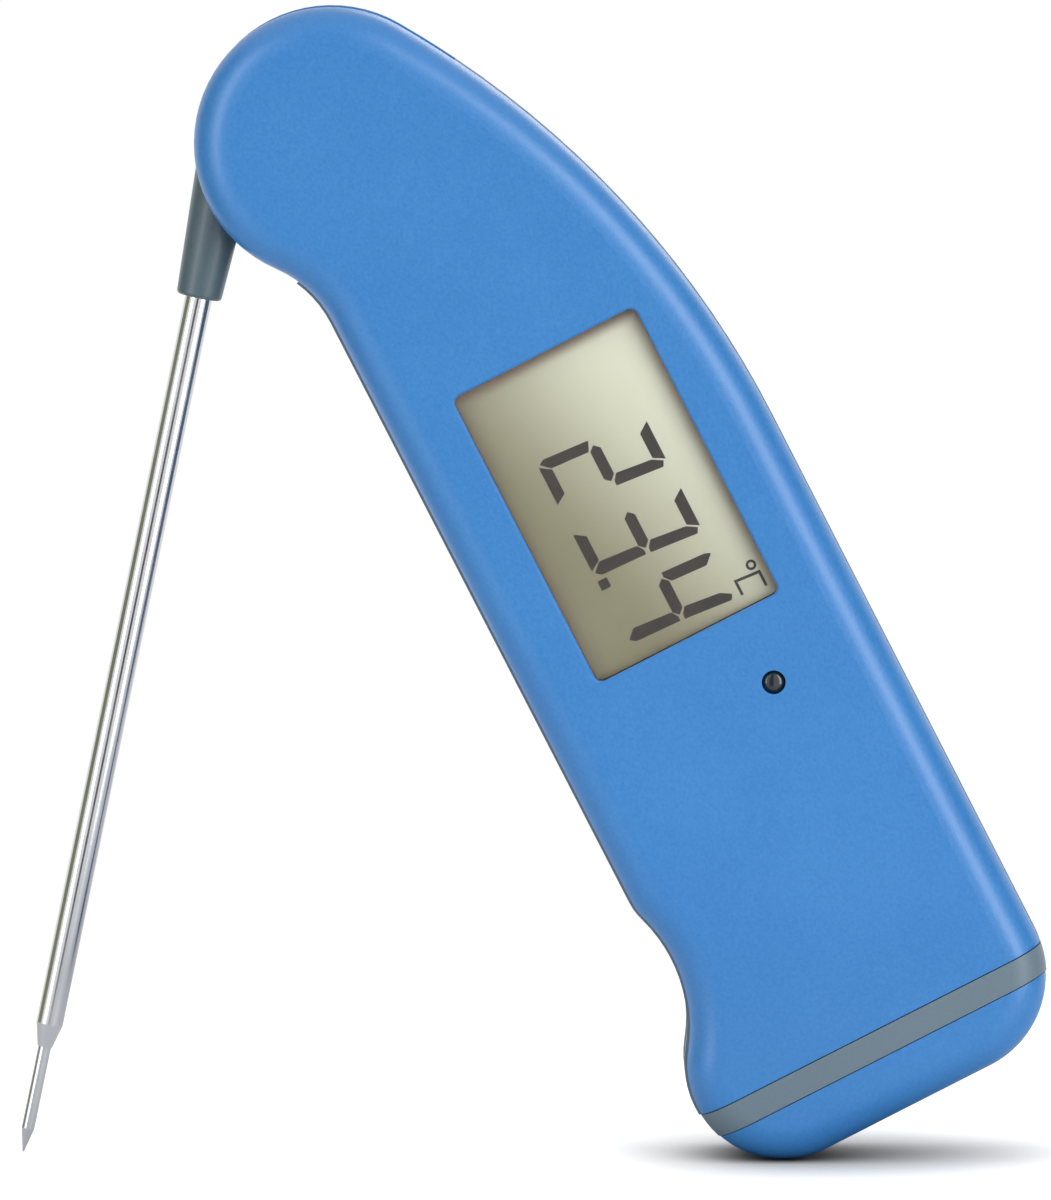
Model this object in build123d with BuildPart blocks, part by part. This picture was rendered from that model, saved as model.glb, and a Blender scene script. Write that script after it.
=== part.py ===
from build123d import *
import os
from math import acos, atan2, cos, degrees, radians, sin, sqrt

os.makedirs("parts", exist_ok=True)

# A folding meat thermometer, millimetres. Every piece is drawn in the case's own frame: the origin is the
# pivot of the probe, x runs across the handle, y runs toward the head and z runs out of the front face.
# "_at" values are distances from the pivot toward the end cap, so they count along -y.

# ---- Case outline ----
head_radius = 16.5
side_right = 32.55
side_left = 9.6
case_end = 136.5
case_depth = 19.0
edge_round = 4.4
shoulder_end_at = 54.0
neck_blend = 14.0
side_end_at = 98.6
side_blend = 8.0
waist_radius = 18.7
heel_radius = 11.7
heel_reach = 13.9
toe_radius = 12.3

# ---- Walls, joints between the case pieces, clearances ----
wall = 2.0
frame_wall = 1.4
seam = 0.1
fit = 0.1
running = 0.05
rim_proud = 0.1
rail_proud = 0.3
rim_half = 1.2
gasket_height = 0.65
band_at = 125.8
band_width = 3.25
bulkhead = 1.5
spigot_length = 3.0
spigot_wall = 1.3

# ---- Probe arm ----
probe_offset = 11.95
tube_radius = 1.65
tube_wall = 0.3
tube_flare = 0.2
tube_end = 112.6
shoulder_length = 2.9
tip_radius = 0.8
tip_wall = 0.25
tip_end = 128.8
needle_length = 3.0
needle_point = 0.1
tube_socket = 10.0
neck_end = 21.74
neck_end_radius = 2.75
neck_root = 5.0
neck_root_radius = 3.6
hub_radius = 15.9
hub_half = 3.8
spigot_radius = 9.0
spigot_half = 6.2
rest_swing = 38.9

# ---- Hub bearing ----
slot_half = hub_half + 0.15
pocket_radius = hub_radius + 0.4
socket_wall = 2.1
rib_count = 6
rib_length = 3.4
rib_width = 1.2
rib_drop = 0.6
sleeve_radius = 2.5
pivot_screw_radius = 1.5
boss_radius = 3.4
boss_room = 0.3
insert_radius = 2.3
insert_length = 5.0
seal_section = 0.5
ring_radii = (4.9, 6.9)
ring_width = 1.0
ring_thick = 0.2
slot_start = 6.5
slot_finish = 230.4

# ---- Display ----
middle_x = 11.45
window_width = 24.7
window_length = 38.8
window_at = 53.4
window_corner = 1.0
window_ledge = 1.0
window_lip = 0.7
window_bevel = 0.25
window_thick = 1.2
lcd_foam = 0.6
lcd_thick = 1.4
lens_radius = 1.4
lens_x = 18.1
lens_at = 82.3

# ---- Circuit board ----
board_face = 4.4
board_thick = 1.0
board_half_width = 12.3
board_start_at = 22.0
board_end_at = 122.8
post_radius = 1.5

# ---- Fasteners and battery bay ----
case_screw_radius = 1.25
case_screw_head = 2.25
case_boss_radius = 2.3
boss_gap = 0.25
thread_room = 0.02
hole_floor = 0.5
screw_sink = 2.6
well_room = 0.2
well_wall = 1.1
well_floor = 0.9
pivot_head = 2.7
top_left_screw_at = 28.5
low_left_screw_at = 93.0
top_right_screw_at = 26.5
low_right_screw_at = 118.0
battery_radius = 5.25
battery_body = 43.5
battery_start_at = 67.6
battery_nub = 1.0
battery_room = 0.15
spring_length = 3.9
contact_thick = 0.4
bay_width = 12.0
bay_wall = 1.2
bay_corner = 0.6
bay_drop = 0.4
door_thick = 1.2
door_width = 17.2
door_gap = 0.12
door_margin = 1.8
door_head_room = 7.0
door_corner = 3.5
door_rim = 1.0
door_rim_end = 0.8
door_screw_radius = 1.0
door_pillar_radius = 2.3
door_pillar_top = -2.2
lever_count = 4
lever_pitch = 2.54
lever_travel = 1.1

# ---- Worked-out values ----
half_depth = case_depth / 2
tube_start = neck_end - tube_socket
face_inside = half_depth - wall
channel_floor = -(probe_offset - neck_root_radius - 0.35)
rail_half = slot_half + 1.0
rail_start_radius = pocket_radius + 0.77
shell_end_at = band_at - seam
band_end_at = band_at + band_width
slot_side = probe_offset - tip_radius - 0.75
slot_entry_at = tube_end - 2.6
slot_end_at = tip_end + 1.5
window_back = half_depth - window_lip - window_thick
lcd_front = window_back - lcd_foam
lcd_back = lcd_front - lcd_thick
bay_start_at = battery_start_at - 1.2
battery_end_at = battery_start_at + battery_nub + battery_body
plate_at = battery_end_at + spring_length
switch_at = plate_at + 1.2
switch_length = 4.0
bay_end_at = switch_at + switch_length + 1.0
door_start_at = bay_start_at - door_head_room
door_end_at = bay_end_at + door_margin
door_screw_at = bay_start_at - door_head_room / 2 - 0.4
door_ledge = -(half_depth - door_thick - 0.3)
battery_z = -(face_inside - battery_radius - battery_room)
board_back = board_face - board_thick
sleeve_end = face_inside - insert_length + hole_floor
rear_boss_face = -(spigot_half - 2 * fit)
rear_boss_radius = boss_radius + 1.0
screw_seat = -(half_depth - screw_sink)


def turn(angle):
    return Vector(cos(radians(angle)), sin(radians(angle)))


def touching_centre(centre_a, reach_a, centre_b, reach_b):
    """The point reach_a from centre_a and reach_b from centre_b, on the left going from a to b."""
    gap = centre_b - centre_a
    along = (gap.length**2 + reach_a**2 - reach_b**2) / (2 * gap.length)
    across = sqrt(reach_a**2 - along**2)
    unit = gap.normalized()
    return centre_a + unit * along + Vector(-unit.Y, unit.X) * across


# ---- Arc centres of the outline, each tangent to its neighbours ----
shoulder_radius = (shoulder_end_at**2 + side_right**2 - head_radius**2) / (2 * (side_right - head_radius))
shoulder_centre = Vector(side_right - shoulder_radius, -shoulder_end_at)
toe_centre = Vector(side_right - toe_radius, toe_radius - case_end)
heel_centre = Vector(heel_radius - heel_reach, heel_radius - case_end)
blend_centre = Vector(side_blend - side_left, -side_end_at)
waist_centre = touching_centre(
    blend_centre, side_blend + waist_radius, heel_centre, heel_radius + waist_radius
)
if waist_centre.X > blend_centre.X:
    waist_centre = touching_centre(
        heel_centre, heel_radius + waist_radius, blend_centre, side_blend + waist_radius
    )
neck_radius = head_radius + neck_blend
neck_drop = sqrt(neck_radius**2 - (side_left + neck_blend) ** 2)
neck_centre = Vector(-side_left - neck_blend, -neck_drop)

# ---- Case screws stand just inside the frame's wall ----
inset = wall + fit + frame_wall + boss_gap + case_boss_radius
left_screw_x = inset - side_left
right_screw_x = side_right - inset
top_screw_rise = shoulder_end_at - top_right_screw_at
top_screw_x = shoulder_centre.X + sqrt((shoulder_radius - inset) ** 2 - top_screw_rise**2)
screw_places = (
    (left_screw_x, top_left_screw_at),
    (left_screw_x, low_left_screw_at),
    (top_screw_x, top_right_screw_at),
    (right_screw_x, low_right_screw_at),
)
board_notch_at = top_right_screw_at + case_boss_radius + 0.8
board_notch_x = top_screw_x - case_boss_radius - 0.3

# ---- The case leans so that its heel and the probe's point stand on one level floor ----
arm_angle = -90 - rest_swing
arm_tip = turn(arm_angle) * tip_end - turn(arm_angle + 90) * probe_offset
reach = arm_tip - heel_centre
floor_angle = degrees(atan2(reach.Y, reach.X) + acos((heel_radius - needle_point) / reach.length))
lean = 270 - floor_angle
down = turn(floor_angle)
level_x = turn(-lean)
pivot_height = heel_centre.dot(down) + heel_radius
lowest_x = arm_tip.dot(level_x) - needle_point
highest_x = toe_centre.dot(level_x) + toe_radius
pivot_x = -(lowest_x + highest_x) / 2

CASE = Plane(
    origin=(pivot_x, 0, pivot_height),
    x_dir=(cos(radians(lean)), 0, sin(radians(lean))),
    z_dir=(0, -1, 0),
)
arm_heading = turn(arm_angle)
ARM = Plane(
    origin=CASE.origin,
    x_dir=CASE.x_dir * arm_heading.X + CASE.y_dir * arm_heading.Y,
    z_dir=CASE.z_dir,
)


def level(z):
    """A plane parallel to the front face."""
    return CASE.offset(z)


def on_case(x, y, z=0):
    return CASE.from_local_coords(Vector(x, y, z))


def on_arm(x, y, z=0):
    return ARM.from_local_coords(Vector(x, y, z))


def across(at):
    """A plane square to the handle, facing the head."""
    return Plane(origin=on_case(0, -at), x_dir=CASE.x_dir, z_dir=CASE.y_dir)


def along_probe(x):
    """A plane square to the probe, facing its point, centred on the probe."""
    return Plane(origin=on_arm(x, -probe_offset), x_dir=ARM.y_dir, z_dir=ARM.x_dir)


probe_line = Plane(origin=on_arm(0, -probe_offset), x_dir=ARM.x_dir, z_dir=ARM.z_dir)
probe_axis = Axis(probe_line.origin, ARM.x_dir)


def save(piece, name):
    piece.part.label = name
    export_step(piece.part, "parts/" + name + ".step")


def arc(centre, start, finish, counter_clockwise=True):
    """An arc about a centre, from one point to another."""
    first = degrees(atan2(start.Y - centre.Y, start.X - centre.X))
    last = degrees(atan2(finish.Y - centre.Y, finish.X - centre.X))
    sweep_angle = (last - first) % 360 if counter_clockwise else -((first - last) % 360)
    middle = centre + turn(first + sweep_angle / 2) * (start - centre).length
    return ThreePointArc(start, middle, finish)


def case_outline():
    """The case seen from the front: round head, long shoulder, straight sides, waist and heel."""
    right_top = Vector(side_right, -shoulder_end_at)
    right_end = Vector(side_right, toe_centre.Y)
    head_right = shoulder_centre.normalized() * -head_radius
    head_left = neck_centre.normalized() * head_radius
    left_top = Vector(-side_left, neck_centre.Y)
    left_end = Vector(-side_left, -side_end_at)
    waist_top = blend_centre + (waist_centre - blend_centre).normalized() * side_blend
    waist_end = heel_centre + (waist_centre - heel_centre).normalized() * heel_radius
    heel_end = Vector(heel_centre.X, -case_end)
    toe_start = Vector(toe_centre.X, -case_end)
    with BuildSketch(Plane.XY) as outline:
        with BuildLine():
            Line(right_end, right_top)
            arc(shoulder_centre, right_top, head_right)
            arc(Vector(0, 0), head_right, head_left)
            arc(neck_centre, head_left, left_top, False)
            Line(left_top, left_end)
            arc(blend_centre, left_end, waist_top)
            arc(waist_centre, waist_top, waist_end, False)
            arc(heel_centre, waist_end, heel_end)
            Line(heel_end, toe_start)
            arc(toe_centre, toe_start, right_end)
        make_face()
    return outline.sketch


OUTLINE = case_outline()


def outline_grown(amount):
    with BuildSketch(Plane.XY) as grown:
        add(OUTLINE)
        offset(amount=amount, kind=Kind.ARC)
    return grown.sketch


def zone(x_low, x_high, at_low, at_high):
    """A rectangle between two places across the handle and two places along it."""
    with BuildSketch(Plane.XY) as area:
        with Locations(((x_low + x_high) / 2, -(at_low + at_high) / 2)):
            Rectangle(x_high - x_low, at_high - at_low)
    return area.sketch


far = case_end + head_radius
INNER = outline_grown(-wall - fit)


def chamber_outline():
    """Outer side of the frame's wall round the electronics: clear of the hub, the channel and the tip slot."""
    with BuildSketch(Plane.XY) as chamber:
        add(INNER)
        Circle(pocket_radius, mode=Mode.SUBTRACT)
        add(zone(-far, channel_floor, -far, slot_entry_at), mode=Mode.SUBTRACT)
        add(zone(-far, -slot_side + frame_wall, slot_entry_at, far), mode=Mode.SUBTRACT)
        add(zone(-far, far, band_at, 2 * far), mode=Mode.SUBTRACT)
    return chamber.sketch


CHAMBER = chamber_outline()


def chamber_grown(amount):
    with BuildSketch(Plane.XY) as grown:
        add(CHAMBER)
        offset(amount=amount, kind=Kind.ARC)
    return grown.sketch


CHAMBER_INSIDE = chamber_grown(-frame_wall)
CHAMBER_SEAT = chamber_grown(fit)


def rail_plan(proud):
    """The left rail between the case's side and the chamber, from the head slot to the band."""
    with BuildSketch(Plane.XY) as rail:
        add(outline_grown(proud) if proud else OUTLINE)
        add(CHAMBER, mode=Mode.SUBTRACT)
        Circle(rail_start_radius, mode=Mode.SUBTRACT)
        add(zone(heel_centre.X, far, -far, far), mode=Mode.SUBTRACT)
        add(zone(-far, far, -far, -rail_start_radius * sin(radians(slot_finish))), mode=Mode.SUBTRACT)
        add(zone(-far, far, band_at, 2 * far), mode=Mode.SUBTRACT)
    return rail.sketch


def slot_plan(radius):
    """The open sector of the head slot, where the arm swings, with the round pocket of the hub."""
    start = turn(slot_start) * far
    finish = turn(slot_finish) * far
    with BuildSketch(Plane.XY) as slot:
        with BuildLine():
            Polyline((0, 0), start, (far, far), (-far, far), (-far, finish.Y), finish, (0, 0))
        make_face()
        Circle(radius)
    return slot.sketch


SLOT = slot_plan(rail_start_radius)

with BuildPart() as blank:
    with BuildSketch(level(-half_depth)):
        add(OUTLINE)
    extrude(amount=case_depth)
    case_faces = blank.faces().sort_by(Axis(CASE.origin, CASE.z_dir))
    fillet(case_faces[0].edges() + case_faces[-1].edges(), radius=edge_round)
BLANK = blank.part

with BuildPart() as proud_blank:
    with BuildSketch(level(-half_depth - rim_proud)):
        add(outline_grown(rim_proud))
    extrude(amount=case_depth + 2 * rim_proud)
    proud_faces = proud_blank.faces().sort_by(Axis(CASE.origin, CASE.z_dir))
    fillet(proud_faces[0].edges() + proud_faces[-1].edges(), radius=edge_round)
PROUD_BLANK = proud_blank.part


def cut(plan, low, high):
    """Takes a plan away between two heights."""
    with BuildSketch(level(low)) as shape:
        add(plan)
    extrude(shape.sketch, amount=high - low, mode=Mode.SUBTRACT)


def fill(plan, low, high):
    """Adds a plan between two heights."""
    with BuildSketch(level(low)) as shape:
        add(plan)
    extrude(shape.sketch, amount=high - low)


def disc(x, at, radius):
    with BuildSketch(Plane.XY) as shape:
        with Locations((x, -at)):
            Circle(radius)
    return shape.sketch


def block(x, at, width, length, corner=0):
    with BuildSketch(Plane.XY) as shape:
        with Locations((x, -at)):
            if corner:
                RectangleRounded(width, length, corner)
            else:
                Rectangle(width, length)
    return shape.sketch


def ring(x, at, inner, outer):
    with BuildSketch(Plane.XY) as shape:
        with Locations((x, -at)):
            Circle(outer)
            Circle(inner, mode=Mode.SUBTRACT)
    return shape.sketch


def frame_plan(x, at, inner_width, inner_length, outer_width, outer_length, corner):
    """A rectangular ring with rounded corners."""
    with BuildSketch(Plane.XY) as shape:
        with Locations((x, -at)):
            RectangleRounded(outer_width, outer_length, corner)
            RectangleRounded(inner_width, inner_length, corner / 2, mode=Mode.SUBTRACT)
    return shape.sketch


def hollow_half(side):
    """One half of the case, side 1 for the front and -1 for the rear, with its joint faces and hub socket."""

    def stretch(low, high):
        return (low, high) if side > 0 else (-high, -low)

    with BuildPart() as half:
        add(BLANK)
        cut(zone(-far, far, -far, far), *stretch(-far, rim_half))
        cut(zone(-far, far, shell_end_at, 2 * far), *stretch(0, far))
        cut(CHAMBER_INSIDE, *stretch(0, face_inside))
        cut(CHAMBER_SEAT, *stretch(0, rail_half + gasket_height))
        cut(rail_plan(far / 10), *stretch(0, rail_half))
        cut(SLOT, *stretch(0, slot_half))
        cut(disc(0, 0, head_radius - wall - fit), *stretch(0, face_inside))
        socket_inner = spigot_radius + fit
        socket_outer = socket_inner + socket_wall
        fill(ring(0, 0, socket_inner, socket_outer), *stretch(slot_half + seam, face_inside))
        with BuildSketch(Plane.XY) as ribs:
            with PolarLocations(socket_outer + rib_length / 2 - seam, rib_count, 180 / rib_count):
                Rectangle(rib_length, rib_width)
        fill(ribs.sketch, *stretch(slot_half + rib_drop, face_inside))
        for x, at in screw_places:
            fill(disc(x, at, case_boss_radius), *stretch(running, face_inside))
    return half.part


board_posts = ((0.8, 37.5), (22.1, 33.0), (0.8, 119.5), (22.1, 119.5))
flex_x = 3.0
flex_width = 5.0
flex_thick = 0.25
flex_end_at = 29.0
flex_room = 0.4
flex_cut_start_at = 6.0
flex_cut_end_at = 20.0
lens_collar_gap = 0.8
lens_collar = 1.0
lens_collar_height = 1.4

# ---- Front shell: moulded blue plastic, carries the display, the board and the hub's front bearing ----
with BuildPart() as front_shell:
    add(hollow_half(1))
    fill(disc(0, 0, boss_radius), sleeve_end, face_inside)
    cut(disc(0, 0, insert_radius), 0, face_inside + hole_floor)
    flex_side = (flex_width + flex_room) / 2
    flex_cut = zone(flex_x - flex_side, flex_x + flex_side, flex_cut_start_at, flex_cut_end_at)
    cut(flex_cut, face_inside - flex_thick - fit, face_inside)
    cut(block(middle_x, window_at, window_width, window_length, window_corner), 0, far)
    lens_edge = window_width + 2 * window_ledge
    lens_long = window_length + 2 * window_ledge
    cut(block(middle_x, window_at, lens_edge, lens_long, window_corner), 0, half_depth - window_lip)
    cut(disc(lens_x, lens_at, lens_radius + running), 0, far)
    collar = ring(lens_x, lens_at, lens_radius + lens_collar_gap, lens_radius + lens_collar_gap + lens_collar)
    fill(collar, face_inside - lens_collar_height, face_inside)
    for x, at in board_posts[2:]:
        fill(disc(x, at, post_radius), board_face, face_inside)
    for x, at in screw_places:
        cut(disc(x, at, case_screw_radius + thread_room), 0, face_inside - hole_floor)
    with BuildSketch(level(half_depth)) as mouth:
        mouth_width = window_width + 2 * window_bevel
        mouth_length = window_length + 2 * window_bevel
        add(block(middle_x, window_at, mouth_width, mouth_length, window_corner + window_bevel))
    extrude(mouth.sketch, amount=-window_bevel, taper=45, mode=Mode.SUBTRACT)
save(front_shell, "front_shell")

# ---- Rear shell: moulded blue plastic with the battery bay, the screw wells and the hub's rear bearing ----
bay_at = (bay_start_at + bay_end_at) / 2
bay_length = bay_end_at - bay_start_at
door_at = (door_start_at + door_end_at) / 2
door_length = door_end_at - door_start_at
with BuildPart() as rear_shell:
    add(hollow_half(-1))
    fill(disc(0, 0, rear_boss_radius), -face_inside, rear_boss_face)
    cut(disc(0, 0, pivot_screw_radius + fit), -far, 0)
    cut(disc(0, 0, pivot_head + well_room), -far, screw_seat)
    for x, at in screw_places:
        fill(disc(x, at, case_boss_radius + well_wall), -face_inside, screw_seat + well_floor)
        cut(disc(x, at, case_screw_radius + fit), -far, well_floor)
        cut(disc(x, at, case_screw_head + well_room), -far, screw_seat)
    for x, at in board_posts:
        fill(disc(x, at, post_radius), -face_inside, board_back)
    rim_length = door_length + 2 * door_rim_end
    door_frame = block(middle_x, door_at, door_width + 2 * door_rim, rim_length, door_corner + door_rim_end)
    fill(door_frame, -face_inside, door_rim - face_inside)
    bay_wide = bay_width + 2 * bay_wall
    bay_long = bay_length + 2 * bay_wall
    bay_outside = block(middle_x, bay_at, bay_wide, bay_long, bay_corner + bay_wall)
    fill(bay_outside, -face_inside, board_back - bay_drop)
    fill(disc(middle_x, door_screw_at, door_pillar_radius), -face_inside, door_pillar_top)
    cut(block(middle_x, bay_at, bay_width, bay_length, bay_corner), -far, far)
    cut(block(middle_x, door_at, door_width, door_length, door_corner), -far, door_ledge)
    cut(disc(middle_x, door_screw_at, door_screw_radius + running), -far, door_pillar_top - hole_floor)
save(rear_shell, "rear_shell")

# ---- Middle frame: grey plastic between the shells, showing as the rim line, the channel and the band ----
with BuildPart() as mid_frame:
    add(PROUD_BLANK)
    split(bisect_by=across(band_at), keep=Keep.BOTTOM)
    split(bisect_by=across(band_end_at), keep=Keep.TOP)
    with BuildSketch(Plane.XY) as spigot_outside:
        add(INNER)
        add(zone(-far, -slot_side + frame_wall, slot_entry_at, far), mode=Mode.SUBTRACT)
    with BuildSketch(Plane.XY) as spigot_inside:
        add(spigot_outside.sketch)
        offset(amount=-spigot_wall, kind=Kind.ARC)
    with BuildSketch(Plane.XY) as band_hollow:
        add(spigot_inside.sketch)
        add(zone(-far, far, -far, band_at + bulkhead), mode=Mode.SUBTRACT)
    cut(band_hollow.sketch, -face_inside, face_inside)
    with BuildSketch(Plane.XY) as spigot:
        add(spigot_outside.sketch)
        add(spigot_inside.sketch, mode=Mode.SUBTRACT)
        add(zone(-far, far, -far, band_end_at - 0.2), mode=Mode.SUBTRACT)
        add(zone(-far, far, band_end_at + spigot_length, 2 * far), mode=Mode.SUBTRACT)
    fill(spigot.sketch, -face_inside + 0.6, face_inside - 0.6)
    with BuildSketch(Plane.XY) as chamber_wall:
        add(CHAMBER)
        add(CHAMBER_INSIDE, mode=Mode.SUBTRACT)
    fill(chamber_wall.sketch, -rail_half, rail_half)
    fill(rail_plan(rail_proud), -rail_half, rail_half)
    with BuildSketch(Plane.XY) as strip:
        add(outline_grown(rim_proud))
        add(CHAMBER_INSIDE, mode=Mode.SUBTRACT)
        add(SLOT, mode=Mode.SUBTRACT)
        add(zone(-far, heel_centre.X, -far, far), mode=Mode.SUBTRACT)
        add(zone(-far, far, band_at + 0.2, 2 * far), mode=Mode.SUBTRACT)
    fill(strip.sketch, -rim_half, rim_half)
    cut(zone(-far, channel_floor, 0, slot_entry_at), -slot_half, slot_half)
    cut(zone(-far, -slot_side, slot_entry_at - 1, slot_end_at), -2 * tip_radius, 2 * tip_radius)
save(mid_frame, "mid_frame")

# ---- End cap: blue moulded cap pushed over the frame's spigot ----
with BuildPart() as end_cap:
    add(BLANK)
    split(bisect_by=across(band_end_at + seam), keep=Keep.BOTTOM)
    with BuildSketch(Plane.XY) as cap_hollow:
        add(outline_grown(-wall))
        add(zone(-far, -slot_side + frame_wall - fit, -far, slot_end_at + frame_wall), mode=Mode.SUBTRACT)
    cut(cap_hollow.sketch, -face_inside, face_inside)
    cut(zone(-far, -slot_side, 0, slot_end_at), -2 * tip_radius, 2 * tip_radius)
save(end_cap, "end_cap")

# ---- Gaskets: silicone rings squeezed between the frame's wall and each shell ----
gasket_inset = 0.3
with BuildSketch(Plane.XY) as gasket_plan:
    add(chamber_grown(-gasket_inset))
    add(chamber_grown(gasket_inset - frame_wall), mode=Mode.SUBTRACT)
with BuildPart() as front_gasket:
    fill(gasket_plan.sketch, rail_half, rail_half + gasket_height)
save(front_gasket, "front_gasket")
with BuildPart() as rear_gasket:
    fill(gasket_plan.sketch, -rail_half - gasket_height, -rail_half)
save(rear_gasket, "rear_gasket")

# ---- Display window, its foam frame, the glass, the light guide, the holder and the contact strips ----
plate_width = window_width + 2 * window_ledge - 2 * fit
plate_length = window_length + 2 * window_ledge - 2 * fit
with BuildPart() as display_window:
    window_plan = block(middle_x, window_at, plate_width, plate_length, window_corner)
    fill(window_plan, window_back, window_back + window_thick)
save(display_window, "display_window")
with BuildPart() as lcd_gasket:
    fill(
        frame_plan(middle_x, window_at, window_width, window_length, plate_width, plate_length, window_corner),
        lcd_front,
        window_back,
    )
save(lcd_gasket, "lcd_gasket")
glass_step = 0.9
with BuildPart() as lcd_panel:
    fill(block(middle_x, window_at, plate_width, plate_length), lcd_back, lcd_front)
    for end in (-1, 1):
        step_at = window_at + end * (plate_length - glass_step) / 2
        cut(block(middle_x, step_at, plate_width + 1, glass_step), -far, lcd_front - lcd_thick / 2)
save(lcd_panel, "lcd_panel")
strip_width = 1.6
strip_inset = 2.1
guide_width = plate_width - 2 * (strip_inset + strip_width / 2) - 2 * fit
with BuildPart() as light_guide:
    fill(block(middle_x, window_at, guide_width, plate_length - 3, 0.5), board_face + fit, lcd_back)
save(light_guide, "light_guide")
with BuildPart() as zebra_strips:
    for side in (-1, 1):
        strip_x = middle_x + side * (plate_width / 2 - strip_inset)
        fill(block(strip_x, window_at, strip_width, plate_length - 4), board_face, lcd_back)
save(zebra_strips, "zebra_strips")
holder_wall = 0.9
holder_width = plate_width + 2 * fit
holder_length = plate_length + 2 * fit
with BuildPart() as lcd_holder:
    holder_plan = frame_plan(
        middle_x,
        window_at,
        holder_width,
        holder_length,
        holder_width + 2 * holder_wall,
        holder_length + 2 * holder_wall,
        0.6,
    )
    fill(holder_plan, board_face, face_inside)
save(lcd_holder, "lcd_holder")

# ---- Circuit board and what is soldered to it ----
with BuildPart() as circuit_board:
    with BuildSketch(Plane.XY) as board_plan:
        add(zone(middle_x - board_half_width, middle_x + board_half_width, board_start_at, board_end_at))
        add(zone(board_notch_x, far, 0, board_notch_at), mode=Mode.SUBTRACT)
    fill(board_plan.sketch, board_back, board_face)
save(circuit_board, "circuit_board")
chip_at = 46.0
chip_side = 7.0
chip_height = 1.0
small_parts = (
    (4.0, 36.0, 3.0, 5.0, 1.2),
    (18.5, 38.0, 4.0, 4.0, 0.9),
    (20.0, 52.0, 1.6, 3.2, 0.8),
    (3.0, 56.0, 3.2, 1.6, 0.8),
    (1.6, 70.0, 2.0, 3.0, 1.4),
    (21.6, 74.0, 1.6, 0.8, 0.6),
)
with BuildPart() as main_chip:
    fill(block(middle_x, chip_at, chip_side, chip_side), board_back - chip_height, board_back)
save(main_chip, "main_chip")
with BuildPart() as board_parts:
    for x, at, width, length, height in small_parts:
        fill(block(x, at, width, length), board_back - height, board_back)
save(board_parts, "board_parts")
sensor_side = 2.0
sensor_height = 0.8
lens_sink = 0.15
lens_flange = 0.7
lens_stem = 1.0
hall_x = 9.5
hall_at = 23.5
hall_width = 3.0
hall_length = 1.6
hall_height = 1.1
with BuildPart() as light_sensor:
    fill(block(lens_x, lens_at, sensor_side, sensor_side), board_face, board_face + sensor_height)
save(light_sensor, "light_sensor")
with BuildPart() as sensor_lens:
    fill(disc(lens_x, lens_at, lens_radius), face_inside, half_depth - lens_sink)
    fill(disc(lens_x, lens_at, lens_radius + lens_flange), face_inside - lens_flange, face_inside)
    stem_low = board_face + sensor_height + 2 * fit
    fill(disc(lens_x, lens_at, lens_stem), stem_low, face_inside - lens_flange)
save(sensor_lens, "sensor_lens")
with BuildPart() as hall_switch:
    fill(block(hall_x, hall_at, hall_width, hall_length), board_face, board_face + hall_height)
save(hall_switch, "hall_switch")

# ---- Signal path from the hub: rings, wipers, flexible circuit, pin block on the board ----
flex_face = face_inside - flex_thick
flex_ring = spigot_radius - 0.4
wiper_width = 0.7
wiper_sheet = 0.15
wiper_low = spigot_half + ring_thick + running
plug_width = 6.0
plug_length = 3.0
plug_height = 1.9
plug_at = flex_end_at - 2.0
pin_gap = 1.4
pin_radius = 0.45
with BuildPart() as contact_flex:
    fill(ring(0, 0, boss_radius + 0.5, flex_ring), flex_face, face_inside)
    flex_tail = zone(flex_x - flex_width / 2, flex_x + flex_width / 2, flex_ring - 1, flex_end_at)
    fill(flex_tail, flex_face, face_inside)
save(contact_flex, "contact_flex")
with BuildPart() as wiper_contacts:
    for radius in ring_radii:
        for side in (-1, 1):
            fill(block(side * radius, 0.0, wiper_width, 1.2), flex_face - wiper_sheet, flex_face)
            fill(block(side * radius, 0.45, wiper_width, 0.3), wiper_low, flex_face)
            fill(block(side * radius, -0.6, wiper_width, 2.4), wiper_low, wiper_low + wiper_sheet)
save(wiper_contacts, "wiper_contacts")
with BuildPart() as contact_block:
    fill(block(flex_x, plug_at, plug_width, plug_length), board_face, board_face + plug_height)
save(contact_block, "contact_block")
with BuildPart() as contact_pins:
    for side in (-1, 1):
        fill(disc(flex_x + side * pin_gap, plug_at, pin_radius), board_face + plug_height, flex_face)
save(contact_pins, "contact_pins")

# ---- Hub bearing: a steel sleeve clamped by one screw into a brass insert, and an acetal friction washer ----
pivot_head_height = 2.1
cross_length = 2.8
cross_width = 0.6
cross_floor = 1.0
with BuildPart() as pivot_sleeve:
    fill(ring(0, 0, pivot_screw_radius + running, sleeve_radius), rear_boss_face, sleeve_end)
save(pivot_sleeve, "pivot_sleeve")
with BuildPart() as pivot_insert:
    fill(ring(0, 0, pivot_screw_radius + thread_room, insert_radius), sleeve_end, face_inside + hole_floor)
save(pivot_insert, "pivot_insert")
with BuildPart() as pivot_screw:
    fill(disc(0, 0, pivot_screw_radius), screw_seat, face_inside)
    fill(disc(0, 0, pivot_head), screw_seat - pivot_head_height, screw_seat)
    for angle in (0, 90):
        with BuildSketch(Plane.XY) as cross:
            Rectangle(cross_length, cross_width, rotation=angle)
        cut(cross.sketch, -far, screw_seat - cross_floor)
save(pivot_screw, "pivot_screw")
with BuildPart() as friction_washer:
    fill(ring(0, 0, rear_boss_radius + boss_room, flex_ring), -face_inside, -spigot_half - running)
save(friction_washer, "friction_washer")

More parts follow.
